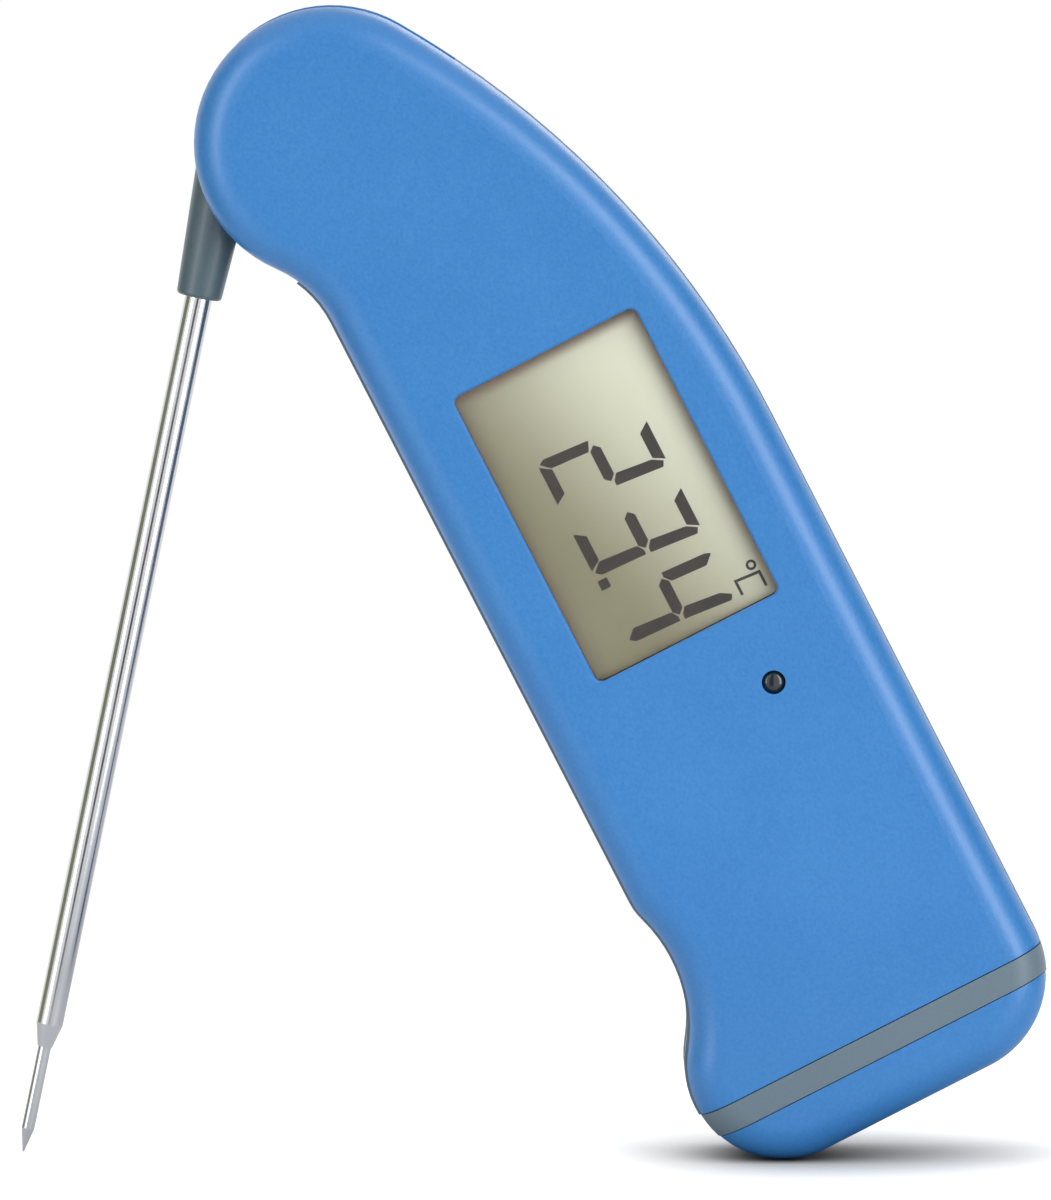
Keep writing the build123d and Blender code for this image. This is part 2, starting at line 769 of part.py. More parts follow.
# ---- Battery bay: AAA cell, its two contacts, the switch block and its levers ----
nub_radius = 1.9
contact_width = 8.4
contact_top = board_back
contact_low = battery_z - 3.9
spring_wire = 0.3
spring_coils = 3
spring_radius = 2.8
coil_foot = 0.2
coil_rise = spring_length - 2 * spring_wire - coil_foot - 0.1
with BuildPart() as battery:
    cell_top = on_case(middle_x, -battery_start_at - battery_nub, battery_z)
    cell_plane = Plane(origin=cell_top, x_dir=CASE.x_dir, z_dir=-CASE.y_dir)
    with BuildSketch(cell_plane):
        Circle(battery_radius)
    extrude(amount=battery_body)
    with BuildSketch(cell_plane):
        Circle(nub_radius)
    extrude(amount=-battery_nub)
save(battery, "battery")
with BuildPart() as plate_contact:
    contact_at = battery_start_at - contact_thick / 2
    fill(block(middle_x, contact_at, contact_width, contact_thick), contact_low, contact_top)
save(plate_contact, "plate_contact")
coil = Helix(
    pitch=coil_rise / spring_coils,
    height=coil_rise,
    radius=spring_radius,
    center=on_case(middle_x, coil_foot - plate_at, battery_z),
    direction=CASE.y_dir,
)
with BuildPart() as spring_contact:
    spring_plate_at = plate_at + contact_thick / 2
    fill(block(middle_x, spring_plate_at, contact_width, contact_thick), contact_low, contact_top)
    with BuildSketch(Plane(origin=coil @ 0, z_dir=coil % 0)):
        Circle(spring_wire)
    sweep(path=coil, is_frenet=True)
save(spring_contact, "spring_contact")
switch_face = 0.4
slot_depth = 1.0
lever_width = 1.1
lever_length = 1.2
lever_proud = 0.7
switch_width = lever_count * lever_pitch + 0.6
switch_middle = switch_at + switch_length / 2
lever_slot = lever_length + lever_travel + 2 * running
first_lever_x = middle_x - (lever_count - 1) * lever_pitch / 2
with BuildPart() as switch_block:
    fill(block(middle_x, switch_middle, switch_width, switch_length), switch_face, board_back)
    for index in range(lever_count):
        lever_x = first_lever_x + index * lever_pitch
        cut(block(lever_x, switch_middle, lever_width + 2 * running, lever_slot), 0, switch_face + slot_depth)
save(switch_block, "switch_block")
lever_low = switch_face - lever_proud
lever_high = switch_face + slot_depth - running
for index in range(lever_count):
    with BuildPart() as settings_lever:
        lever_start = switch_middle + lever_travel / 2
        lever_plan = block(first_lever_x + index * lever_pitch, lever_start, lever_width, lever_length)
        fill(lever_plan, lever_low, lever_high)
    save(settings_lever, "settings_lever_" + str(index + 1))

# ---- Battery door: blue lid flush in the rear, with its seal and its captive screw ----
door_face = -half_depth + door_thick
lip_room = 0.2
lip_wall = 1.0
lip_height = 1.7
seal_width = 1.2
head_sink = 0.15
head_rim = 1.85
screw_cone = 0.85
screw_length = 6.2
screw_point = 0.6
with BuildPart() as battery_door:
    door_fit_width = door_width - 2 * door_gap
    door_fit_length = door_length - 2 * door_gap
    door_plan = block(middle_x, door_at, door_fit_width, door_fit_length, door_corner - door_gap)
    fill(door_plan, -half_depth, door_face)
    lip_width = bay_width - 2 * lip_room
    lip_length = bay_length - 2 * lip_room
    lip = frame_plan(
        middle_x, bay_at, lip_width - 2 * lip_wall, lip_length - 2 * lip_wall, lip_width, lip_length, bay_corner
    )
    fill(lip, door_face, door_ledge + lip_height)
    screw_place = on_case(middle_x, -door_screw_at, -half_depth)
    with Locations(Plane(origin=screw_place, x_dir=CASE.x_dir, z_dir=-CASE.z_dir)):
        CounterSinkHole(radius=door_screw_radius + fit, counter_sink_radius=head_rim + 0.25, depth=door_thick)
save(battery_door, "battery_door")
with BuildPart() as door_seal:
    seal_inner_width = bay_width + 2 * fit
    seal_inner_length = bay_length + 2 * fit
    seal_plan = frame_plan(
        middle_x,
        bay_at,
        seal_inner_width,
        seal_inner_length,
        seal_inner_width + 2 * seal_width,
        seal_inner_length + 2 * seal_width,
        bay_corner + seal_width,
    )
    fill(seal_plan, door_face, door_ledge - running)
save(door_seal, "door_seal")
with BuildPart() as door_screw:
    with BuildSketch(Plane(origin=screw_place, x_dir=CASE.x_dir, z_dir=-CASE.y_dir)):
        with BuildLine():
            Polyline(
                (0, head_sink),
                (head_rim, head_sink),
                (door_screw_radius, head_sink + screw_cone),
                (door_screw_radius, screw_length - screw_point),
                (door_screw_radius / 2, screw_length),
                (0, screw_length),
                (0, head_sink),
            )
        make_face()
    revolve(axis=Axis(screw_place, CASE.z_dir))
    for angle in (0, 90):
        with BuildSketch(Plane.XY) as cross:
            with Locations((middle_x, -door_screw_at)):
                Rectangle(head_rim, 0.45, rotation=angle)
        cut(cross.sketch, -half_depth, head_sink + 0.55 - half_depth)
save(door_screw, "door_screw")

# ---- Case screws: four pan-head screws from the rear into the front shell's bosses ----
case_head_height = 1.6
case_cross_length = 2.4
case_cross_width = 0.55
case_cross_floor = 0.7
with BuildPart() as case_screws:
    for x, at in screw_places:
        fill(disc(x, at, case_screw_radius), screw_seat, face_inside - 3 * hole_floor)
        fill(disc(x, at, case_screw_head), screw_seat - case_head_height, screw_seat)
        for angle in (0, 90):
            with BuildSketch(Plane.XY) as cross:
                with Locations((x, -at)):
                    Rectangle(case_cross_length, case_cross_width, rotation=angle)
            cut(cross.sketch, -far, screw_seat - case_cross_floor)
save(case_screws, "case_screws")

# ---- Probe hub: grey disc with its spigots and the conical neck round the tube ----
seal_at = slot_half + 0.95
seal_floor = spigot_radius + running - 2 * seal_section
magnet_x = 12.0
magnet_y = 5.0
magnet_radius = 2.0
magnet_depth = 2.0
neck_edge = 0.5
hub_edge = 0.4
wire_room = 1.2
wire_turn = -2 * wire_room
wire_hole = 0.45
with BuildPart() as probe_hub:
    with BuildSketch(ARM.offset(-hub_half)):
        Circle(hub_radius)
    extrude(amount=2 * hub_half)
    rims = probe_hub.edges().filter_by(GeomType.CIRCLE)
    fillet(rims, radius=hub_edge)
    with BuildSketch(ARM.offset(-spigot_half)):
        Circle(spigot_radius)
    extrude(amount=2 * spigot_half)
    neck_slope = (neck_root_radius - neck_end_radius) / (neck_end - neck_root)
    edge_start = (neck_end - neck_edge, neck_end_radius + neck_edge * neck_slope)
    edge_end = (neck_end, neck_end_radius - neck_edge)
    with BuildSketch(probe_line):
        with BuildLine():
            Polyline((0, 0), (0, neck_root_radius), (neck_root, neck_root_radius), edge_start)
            RadiusArc(edge_start, edge_end, neck_edge)
            Polyline(edge_end, (neck_end, 0), (0, 0))
        make_face()
    revolve(axis=probe_axis)
    with BuildSketch(probe_line):
        with BuildLine():
            Polyline(
                (tube_start, 0),
                (tube_start, tube_radius + tube_flare),
                (neck_end, tube_radius),
                (far, tube_radius),
                (far, 0),
                (tube_start, 0),
            )
        make_face()
    revolve(axis=probe_axis, mode=Mode.SUBTRACT)
    with BuildSketch(along_probe(wire_turn)):
        Circle(wire_room)
    extrude(amount=neck_end, mode=Mode.SUBTRACT)
    with BuildSketch(ARM.offset(-wire_room)):
        with Locations((-wire_room, -(probe_offset + ring_radii[0]) / 2)):
            Rectangle(2 * wire_room, probe_offset - ring_radii[0] + wire_room)
    extrude(amount=3 * wire_room, mode=Mode.SUBTRACT)
    for radius in ring_radii:
        with BuildSketch(ARM):
            with Locations((-wire_room, -radius)):
                Circle(wire_hole)
        extrude(amount=far, mode=Mode.SUBTRACT)
    for side in (-1, 1):
        with BuildSketch(ARM.offset(side * seal_at - seal_section)):
            Circle(spigot_radius + seal_section)
            Circle(seal_floor, mode=Mode.SUBTRACT)
        extrude(amount=2 * seal_section, mode=Mode.SUBTRACT)
    with BuildSketch(ARM.offset(-far)):
        Circle(sleeve_radius + running)
    extrude(amount=2 * far, mode=Mode.SUBTRACT)
    with BuildSketch(ARM.offset(sleeve_end - boss_room)):
        Circle(boss_radius + boss_room)
    extrude(amount=far, mode=Mode.SUBTRACT)
    with BuildSketch(ARM.offset(rear_boss_face + boss_room)):
        Circle(rear_boss_radius + boss_room)
    extrude(amount=-far, mode=Mode.SUBTRACT)
    with BuildSketch(ARM.offset(hub_half - magnet_depth)):
        with Locations((magnet_x, magnet_y)):
            Circle(magnet_radius)
    extrude(amount=far, mode=Mode.SUBTRACT)
save(probe_hub, "probe_hub")

with BuildPart() as hub_seals:
    for side in (-1, 1):
        seal_centre = on_arm(seal_floor + seal_section, 0, side * seal_at)
        with BuildSketch(Plane(origin=seal_centre, x_dir=ARM.x_dir, z_dir=ARM.y_dir)):
            Circle(seal_section - 0.01)
        revolve(axis=Axis(ARM.origin, ARM.z_dir))
save(hub_seals, "hub_seals")

with BuildPart() as contact_rings:
    for radius in ring_radii:
        with BuildSketch(ARM.offset(spigot_half)):
            Circle(radius + ring_width / 2)
            Circle(radius - ring_width / 2, mode=Mode.SUBTRACT)
        extrude(amount=ring_thick)
save(contact_rings, "contact_rings")

with BuildPart() as hub_magnet:
    with BuildSketch(ARM.offset(hub_half - magnet_depth)):
        with Locations((magnet_x, magnet_y)):
            Circle(magnet_radius)
    extrude(amount=magnet_depth - 0.2)
save(hub_magnet, "hub_magnet")

# ---- Probe: steel tube, flared inside the neck and swaged at its end, with the closed tip welded in ----
swage_end = tube_end + shoulder_length
swage_lip = 0.12
tube_bore_end = tube_end - 0.4
tip_overlap = 1.4
needle_floor = 0.4
with BuildPart() as probe_tube:
    with BuildSketch(probe_line):
        with BuildLine():
            Polyline(
                (tube_start, tube_radius + tube_flare - tube_wall),
                (tube_start, tube_radius + tube_flare),
                (neck_end, tube_radius),
                (tube_end, tube_radius),
                (swage_end, tip_radius + swage_lip),
                (swage_end, tip_radius),
                (swage_end - tip_overlap - fit, tip_radius),
                (tube_bore_end, tube_radius - tube_wall),
                (neck_end, tube_radius - tube_wall),
                (tube_start, tube_radius + tube_flare - tube_wall),
            )
        make_face()
    revolve(axis=probe_axis)
save(probe_tube, "probe_tube")
with BuildPart() as probe_tip:
    with BuildSketch(probe_line):
        with BuildLine():
            Polyline(
                (swage_end - tip_overlap, tip_radius - tip_wall),
                (swage_end - tip_overlap, tip_radius),
                (tip_end - needle_length, tip_radius),
                (tip_end - needle_point, needle_point),
                (tip_end, 0),
                (tip_end - needle_length, 0),
                (tip_end - needle_length - needle_floor, tip_radius - tip_wall),
                (swage_end - tip_overlap, tip_radius - tip_wall),
            )
        make_face()
    revolve(axis=probe_axis)
save(probe_tip, "probe_tip")

# ---- Thermocouple: two insulated wires from the welded bead in the tip to the contact rings ----
wire_radius = 0.22
wire_lane = 0.26
wire_bend = 0.7
bead_radius = 0.42
bead_x = tip_end - needle_length - needle_floor - 0.35
with BuildPart() as thermocouple_wires:
    for side, radius in zip((-1, 1), ring_radii):
        lane_y = side * wire_lane - probe_offset
        with BuildLine() as wire_path:
            FilletPolyline(
                on_arm(bead_x - bead_radius, lane_y),
                on_arm(-wire_room, lane_y),
                on_arm(-wire_room, -radius),
                on_arm(-wire_room, -radius, spigot_half),
                radius=wire_bend,
            )
        with BuildSketch(Plane(origin=wire_path.line @ 0, z_dir=wire_path.line % 0)):
            Circle(wire_radius)
        sweep(path=wire_path.line)
save(thermocouple_wires, "thermocouple_wires")
with BuildPart() as sensing_bead:
    with Locations(on_arm(bead_x, -probe_offset)):
        Sphere(bead_radius)
save(sensing_bead, "sensing_bead")

print("lean", round(lean, 4), "pivot", round(pivot_x, 4), round(pivot_height, 4))
print("probe heading", ARM.x_dir)
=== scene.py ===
import math

import bpy
from mathutils import Matrix, Vector


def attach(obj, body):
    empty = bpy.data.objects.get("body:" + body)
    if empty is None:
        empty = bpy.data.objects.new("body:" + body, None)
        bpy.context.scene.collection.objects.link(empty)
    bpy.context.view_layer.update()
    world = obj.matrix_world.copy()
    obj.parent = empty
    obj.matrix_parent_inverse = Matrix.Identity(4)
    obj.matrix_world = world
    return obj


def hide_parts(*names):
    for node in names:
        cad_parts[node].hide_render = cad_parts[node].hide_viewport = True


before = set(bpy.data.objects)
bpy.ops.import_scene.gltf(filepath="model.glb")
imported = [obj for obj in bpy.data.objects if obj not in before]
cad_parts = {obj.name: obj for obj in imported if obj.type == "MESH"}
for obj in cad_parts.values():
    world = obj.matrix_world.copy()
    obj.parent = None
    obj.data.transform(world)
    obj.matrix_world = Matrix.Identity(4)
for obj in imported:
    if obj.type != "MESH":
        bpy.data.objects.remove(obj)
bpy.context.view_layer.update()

# ---- Front and rear shells and the end cap ----
# The two halves of the handle and the cap over its heel are moulded from one sky blue ABS.
# The mould was spark-eroded, so the skin has a fine satin grain. Screws from behind join the halves.
case_lean = math.radians(27.1409)
pivot_point = (-0.0244648, 0.0, 0.1237615)
blue_light = (57, 137, 208)
blue_deep = (42, 124, 198)
grain_pitch = 0.0004
grain_depth = 0.00003
speckle_share = 0.65


def paint(red, green, blue):
    """A colour written as on a colour card, each part from 0 to 255, turned linear."""
    linear = []
    for part in (red, green, blue):
        share = part / 255
        linear.append(share / 12.92 if share <= 0.04045 else ((share + 0.055) / 1.055) ** 2.4)
    return (*linear, 1.0)


def add_node(tree, kind, values=None, **settings):
    """One shader node with its settings and the values of its inputs."""
    node = tree.nodes.new(kind)
    for key, value in settings.items():
        setattr(node, key, value)
    for key, value in (values or {}).items():
        node.inputs[key].default_value = value
    return node


def new_finish(name, **values):
    """A material whose Principled shader has these constants on its own sockets."""
    finish = bpy.data.materials.new(name)
    finish.use_nodes = True
    shader = finish.node_tree.nodes["Principled BSDF"]
    for key, value in values.items():
        shader.inputs[key.replace("_", " ")].default_value = value
    return finish, finish.node_tree, shader


def give_finish(finish, *names):
    """The CAD nodes of these names take this material."""
    for name in names:
        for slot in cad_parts[name].material_slots:
            slot.material = finish


def new_effect(name, inputs, outputs):
    """A shader group with its inputs (name, kind, default) and outputs (name, kind)."""
    group = bpy.data.node_groups.new(name, "ShaderNodeTree")
    for label, kind, default in inputs:
        group.interface.new_socket(label, in_out="INPUT", socket_type=kind).default_value = default
    for label, kind in outputs:
        group.interface.new_socket(label, in_out="OUTPUT", socket_type=kind)
    return group, group.nodes.new("NodeGroupInput"), group.nodes.new("NodeGroupOutput")


def use_effect(tree, group, values=None):
    """One use of a shader group in a material."""
    return add_node(tree, "ShaderNodeGroup", values, node_tree=group)


# Moulded grain: tiny cells in the skin, with broad, faint differences in tone and gloss.
moulded_grain, grain_in, grain_out = new_effect(
    "moulded_grain",
    [("Pitch", "NodeSocketFloat", grain_pitch), ("Patch", "NodeSocketFloat", 0.02)],
    [("Height", "NodeSocketFloat"), ("Tone", "NodeSocketFloat"), ("Fine", "NodeSocketFloat")],
)
place = add_node(moulded_grain, "ShaderNodeTexCoord")
per_cell = add_node(moulded_grain, "ShaderNodeMath", {0: 1.0}, operation="DIVIDE")
per_patch = add_node(moulded_grain, "ShaderNodeMath", {0: 1.0}, operation="DIVIDE")
cells = add_node(moulded_grain, "ShaderNodeTexNoise", {"Detail": 3.0, "Roughness": 0.6})
patches = add_node(moulded_grain, "ShaderNodeTexNoise", {"Detail": 4.0, "Roughness": 0.55})
moulded_grain.links.new(grain_in.outputs["Pitch"], per_cell.inputs[1])
moulded_grain.links.new(grain_in.outputs["Patch"], per_patch.inputs[1])
moulded_grain.links.new(per_cell.outputs[0], cells.inputs["Scale"])
moulded_grain.links.new(per_patch.outputs[0], patches.inputs["Scale"])
moulded_grain.links.new(place.outputs["Object"], cells.inputs["Vector"])
moulded_grain.links.new(place.outputs["Object"], patches.inputs["Vector"])
spread = add_node(moulded_grain, "ShaderNodeMapRange", {1: 0.35, 2: 0.65})
fine_spread = add_node(moulded_grain, "ShaderNodeMapRange", {1: 0.3, 2: 0.7})
moulded_grain.links.new(patches.outputs["Fac"], spread.inputs[0])
moulded_grain.links.new(cells.outputs["Fac"], fine_spread.inputs[0])
moulded_grain.links.new(cells.outputs["Fac"], grain_out.inputs["Height"])
moulded_grain.links.new(spread.outputs[0], grain_out.inputs["Tone"])
moulded_grain.links.new(fine_spread.outputs[0], grain_out.inputs["Fine"])


def moulded(name, light, deep, rough, bump, pitch=grain_pitch, edge=0.00012, **values):
    """A moulded plastic: two near tones, a grained skin and softly rounded edges."""
    finish, tree, shader = new_finish(name, **values)
    grain = use_effect(tree, moulded_grain, {"Pitch": pitch})
    speckle = add_node(tree, "ShaderNodeMix", {0: speckle_share})
    tone = add_node(tree, "ShaderNodeMix", {6: paint(*deep), 7: paint(*light)}, data_type="RGBA")
    gloss = add_node(tree, "ShaderNodeMapRange", {3: rough[0], 4: rough[1]})
    skin = add_node(tree, "ShaderNodeBump", {"Strength": bump, "Distance": grain_depth})
    corner = add_node(tree, "ShaderNodeBevel", {"Radius": edge}, samples=4)
    tree.links.new(grain.outputs["Tone"], speckle.inputs[2])
    tree.links.new(grain.outputs["Fine"], speckle.inputs[3])
    tree.links.new(speckle.outputs[0], tone.inputs["Factor"])
    tree.links.new(grain.outputs["Fine"], gloss.inputs[0])
    tree.links.new(grain.outputs["Height"], skin.inputs["Height"])
    tree.links.new(corner.outputs["Normal"], skin.inputs["Normal"])
    tree.links.new(tone.outputs[2], shader.inputs["Base Color"])
    tree.links.new(gloss.outputs[0], shader.inputs["Roughness"])
    tree.links.new(skin.outputs["Normal"], shader.inputs["Normal"])
    return finish


case_blue = moulded("case_blue", blue_light, blue_deep, (0.30, 0.40), 0.8, Specular_IOR_Level=0.75)
give_finish(case_blue, "front_shell", "rear_shell", "end_cap", "battery_door")

# ---- Middle frame ----
# A grey glass-filled nylon frame between the shells: its edge shows as the rim line, the
# channel for the folded probe and the band above the heel.
frame_grey = moulded("frame_grey", (112, 132, 145), (106, 125, 138), (0.36, 0.48), 0.3, pitch=0.0003)
give_finish(frame_grey, "mid_frame")

# ---- Gaskets, seals and the display's foam ----
# Black silicone rings squeezed between the frame and the shells, round the hub and under the
# battery door, and a die-cut foam frame that keeps dust off the display.
rubber_black = moulded(
    "rubber_black", (38, 38, 40), (24, 24, 26), (0.55, 0.75), 0.4, pitch=0.00015, edge=0.0001
)
foam_black = moulded("foam_black", (50, 49, 48), (26, 26, 26), (0.85, 1.0), 0.9, pitch=0.0004, edge=0.0001)
give_finish(rubber_black, "front_gasket", "rear_gasket", "door_seal", "hub_seals")
give_finish(foam_black, "lcd_gasket")

# ---- Circuit board and its parts ----
# A 1 mm glass-epoxy board under green solder mask, with copper tracks showing through it as a
# lighter green, black moulded chips, and the amber flexible circuit to the hub's wipers.


def on_case(tree):
    """Places measured on the case in millimetres: across, up towards the head and out of the front."""
    place = add_node(tree, "ShaderNodeTexCoord")
    measured = add_node(tree, "ShaderNodeMapping", {
        "Location": pivot_point,
        "Rotation": (math.radians(90), -case_lean, 0),
        "Scale": (0.001, 0.001, 0.001),
    }, vector_type="TEXTURE")
    tree.links.new(place.outputs["Object"], measured.inputs["Vector"])
    return measured.outputs[0]


board_green, tree, shader = new_finish("board_green", Coat_Weight=0.4, Coat_Roughness=0.15)
tracks = add_node(tree, "ShaderNodeTexBrick", {
    "Color1": paint(26, 92, 52), "Color2": paint(33, 104, 60), "Mortar": paint(16, 66, 38), "Scale": 0.5,
    "Mortar Size": 0.06, "Brick Width": 3.6, "Row Height": 0.42,
})
weave = use_effect(tree, moulded_grain, {"Pitch": 0.0004, "Patch": 0.006})
rough = add_node(tree, "ShaderNodeMapRange", {3: 0.35, 4: 0.55})
mask_skin = add_node(tree, "ShaderNodeBump", {"Strength": 0.3, "Distance": grain_depth})
tree.links.new(on_case(tree), tracks.inputs["Vector"])
tree.links.new(tracks.outputs["Color"], shader.inputs["Base Color"])
tree.links.new(weave.outputs["Tone"], rough.inputs[0])
tree.links.new(rough.outputs[0], shader.inputs["Roughness"])
tree.links.new(tracks.outputs["Fac"], mask_skin.inputs["Height"])
tree.links.new(mask_skin.outputs["Normal"], shader.inputs["Normal"])
give_finish(board_green, "circuit_board")

chip_black = moulded("chip_black", (46, 46, 49), (34, 34, 37), (0.5, 0.65), 0.4, pitch=0.0001, edge=0.00005)
give_finish(chip_black, "main_chip", "board_parts", "hall_switch", "light_sensor")
flex_amber = moulded(
    "flex_amber", (196, 124, 38), (170, 98, 24), (0.25, 0.35), 0.1, edge=0.00005, Coat_Weight=0.3
)
give_finish(flex_amber, "contact_flex")
white_plastic = moulded("white_plastic", (226, 224, 216), (212, 210, 202), (0.4, 0.55), 0.2)
give_finish(white_plastic, "lcd_holder", "contact_block")
switch_white = moulded("switch_white", (232, 231, 226), (220, 219, 212), (0.35, 0.5), 0.15, edge=0.0001)
switch_red = moulded("switch_red", (188, 44, 36), (170, 34, 28), (0.35, 0.5), 0.15, edge=0.0001)
give_finish(switch_red, "switch_block")
give_finish(switch_white, "settings_lever_1", "settings_lever_2", "settings_lever_3", "settings_lever_4")

# ---- Probe: tube and tip ----
# Stainless steel tube, centreless ground, so faint rings run round it, and a closed needle tip
# welded into the swaged end.
probe_turn = math.radians(101.76)

# Ground metal: hair-fine rings across the length of a turned or ground part, with small smears.
ground_metal, metal_in, metal_out = new_effect(
    "ground_metal",
    [("Turn", "NodeSocketVector", (0.0, 0.0, 0.0)), ("Rings", "NodeSocketFloat", 9000.0)],
    [("Height", "NodeSocketFloat"), ("Tone", "NodeSocketFloat")],
)
place = add_node(ground_metal, "ShaderNodeTexCoord")
turned = add_node(ground_metal, "ShaderNodeMapping", vector_type="TEXTURE")
drawn = add_node(ground_metal, "ShaderNodeVectorMath", {1: (1.0, 0.04, 0.04)}, operation="MULTIPLY")
rings = add_node(ground_metal, "ShaderNodeTexNoise", {"Detail": 2.0, "Roughness": 0.5})
smears = add_node(ground_metal, "ShaderNodeTexNoise", {"Scale": 90.0, "Detail": 4.0})
ground_metal.links.new(metal_in.outputs["Turn"], turned.inputs["Rotation"])
ground_metal.links.new(place.outputs["Object"], turned.inputs["Vector"])
ground_metal.links.new(turned.outputs[0], drawn.inputs[0])
ground_metal.links.new(drawn.outputs[0], rings.inputs["Vector"])
ground_metal.links.new(metal_in.outputs["Rings"], rings.inputs["Scale"])
ground_metal.links.new(place.outputs["Object"], smears.inputs["Vector"])
ground_metal.links.new(rings.outputs["Fac"], metal_out.inputs["Height"])
ground_metal.links.new(smears.outputs["Fac"], metal_out.inputs["Tone"])


def metal(name, light, deep, rough, bump, turn=(0.0, 0.0, 0.0), rings=9000.0, edge=0.00005):
    """A ground, drawn or plated metal."""
    finish, tree, shader = new_finish(name, Metallic=1.0)
    surface = use_effect(tree, ground_metal, {"Turn": turn, "Rings": rings})
    tone = add_node(tree, "ShaderNodeMix", {6: paint(*deep), 7: paint(*light)}, data_type="RGBA")
    gloss = add_node(tree, "ShaderNodeMapRange", {1: 0.3, 2: 0.7, 3: rough[0], 4: rough[1]})
    skin = add_node(tree, "ShaderNodeBump", {"Strength": bump, "Distance": 0.00001})
    corner = add_node(tree, "ShaderNodeBevel", {"Radius": edge}, samples=4)
    tree.links.new(surface.outputs["Tone"], tone.inputs["Factor"])
    tree.links.new(surface.outputs["Tone"], gloss.inputs[0])
    tree.links.new(surface.outputs["Height"], skin.inputs["Height"])
    tree.links.new(corner.outputs["Normal"], skin.inputs["Normal"])
    tree.links.new(tone.outputs[2], shader.inputs["Base Color"])
    tree.links.new(gloss.outputs[0], shader.inputs["Roughness"])
    tree.links.new(skin.outputs["Normal"], shader.inputs["Normal"])
    return finish


steel = metal("steel", (214, 216, 220), (200, 202, 207), (0.10, 0.2), 0.15, turn=(0.0, probe_turn, 0.0))
give_finish(steel, "probe_tube", "probe_tip", "sensing_bead")

# ---- Probe hub ----
# Grey glass-filled nylon disc that turns in the slot of the head, with a tapered neck moulded
# round the end of the tube. It runs on the pivot sleeve.
hub_grey = moulded("hub_grey", (87, 106, 115), (80, 99, 108), (0.28, 0.38), 0.2, pitch=0.0003)
give_finish(hub_grey, "probe_hub")

# ---- Hub bearing and the signal path ----
# Zinc-plated sleeve and screws, a brass insert, an acetal washer, and copper rings and wipers.
# The pivot screw holds the sleeve from behind, and the other screws join the halves and the door.
zinc_steel = metal("zinc_steel", (196, 200, 206), (176, 180, 186), (0.28, 0.4), 0.2, rings=4000.0)
brass = metal("brass", (206, 172, 98), (186, 150, 78), (0.25, 0.35), 0.2, rings=4000.0)
copper = metal("copper", (214, 150, 110), (196, 130, 92), (0.22, 0.35), 0.2, rings=4000.0)
nickel = metal("nickel", (204, 200, 192), (186, 182, 174), (0.2, 0.3), 0.2, rings=4000.0)
give_finish(zinc_steel, "pivot_sleeve", "pivot_screw", "case_screws", "door_screw")
give_finish(brass, "pivot_insert", "contact_pins")
give_finish(copper, "contact_rings", "wiper_contacts")
give_finish(nickel, "plate_contact", "spring_contact", "hub_magnet")
acetal = moulded("acetal", (236, 235, 230), (226, 225, 219), (0.35, 0.45), 0.1)
give_finish(acetal, "friction_washer")
wire_skin = moulded("wire_skin", (150, 122, 78), (128, 102, 62), (0.5, 0.65), 0.3, pitch=0.0002)
give_finish(wire_skin, "thermocouple_wires")

# ---- Battery ----
# One AAA cell in a printed plastic sleeve, dark with a copper-coloured end. It lies along the
# handle under the rear door, between a nickel-plated plate and a spring.
jacket, tree, shader = new_finish("cell_jacket", Coat_Weight=0.5, Coat_Roughness=0.1)
along = add_node(tree, "ShaderNodeSeparateXYZ")
bands = add_node(tree, "ShaderNodeValToRGB")
bands.color_ramp.interpolation = "CONSTANT"
share = add_node(tree, "ShaderNodeMapRange", {1: -112.2, 2: -67.5})
for at, colour in ((0.035, (30, 32, 36)), (0.68, (190, 130, 72)), (0.955, (196, 197, 200))):
    stop = bands.color_ramp.elements.new(at)
    stop.color = paint(*colour)
bands.color_ramp.elements[0].color = paint(196, 197, 200)
bands.color_ramp.elements[-1].color = paint(196, 197, 200)
sleeve = use_effect(tree, moulded_grain, {"Pitch": 0.0003, "Patch": 0.01})
rough = add_node(tree, "ShaderNodeMapRange", {3: 0.25, 4: 0.4})
tree.links.new(on_case(tree), along.inputs[0])
tree.links.new(along.outputs["Y"], share.inputs[0])
tree.links.new(share.outputs[0], bands.inputs["Fac"])
tree.links.new(bands.outputs["Color"], shader.inputs["Base Color"])
tree.links.new(sleeve.outputs["Tone"], rough.inputs[0])
tree.links.new(rough.outputs[0], shader.inputs["Roughness"])
give_finish(jacket, "battery")

# ---- Display glass ----
# A reflective liquid crystal panel: two glass sheets under a grey-green polarising film. The
# film's colour carries painted light, lighter toward the upper right, and painted shade that browns it at
# the rims, most of all at the top.
film_half = (12.35, 19.4)
# The painted shade at the film's rims is deepest at the top and right, under the opening's edge.
shade_middle = (11.25, -54.0)
shade_inside = 1.4
shade_outside = 0.6
lcd_glass, tree, shader = new_finish("lcd_glass", Coat_Weight=0.15, Coat_Roughness=0.3)
measured = on_case(tree)
parts = add_node(tree, "ShaderNodeSeparateXYZ")
tree.links.new(measured, parts.inputs[0])
# Painted light: the film's colour is painted lighter toward the upper right, where more light falls on it.
painted_light_slant = add_node(tree, "ShaderNodeVectorMath", {1: (1.0, 0.32, 0.0)}, operation="DOT_PRODUCT")
rise = add_node(tree, "ShaderNodeMapRange", {1: -16.5, 2: 9.5}, interpolation_type="SMOOTHSTEP")
painted_light_film = add_node(tree, "ShaderNodeMix", {6: paint(120, 116, 87), 7: paint(203, 205, 184)}, data_type="RGBA")
tree.links.new(measured, painted_light_slant.inputs[0])
tree.links.new(painted_light_slant.outputs["Value"], rise.inputs[0])
tree.links.new(rise.outputs[0], painted_light_film.inputs["Factor"])
# Painted shade: the film is painted brown near its rims, where the opening's edge shades it.
painted_shade_masks = []
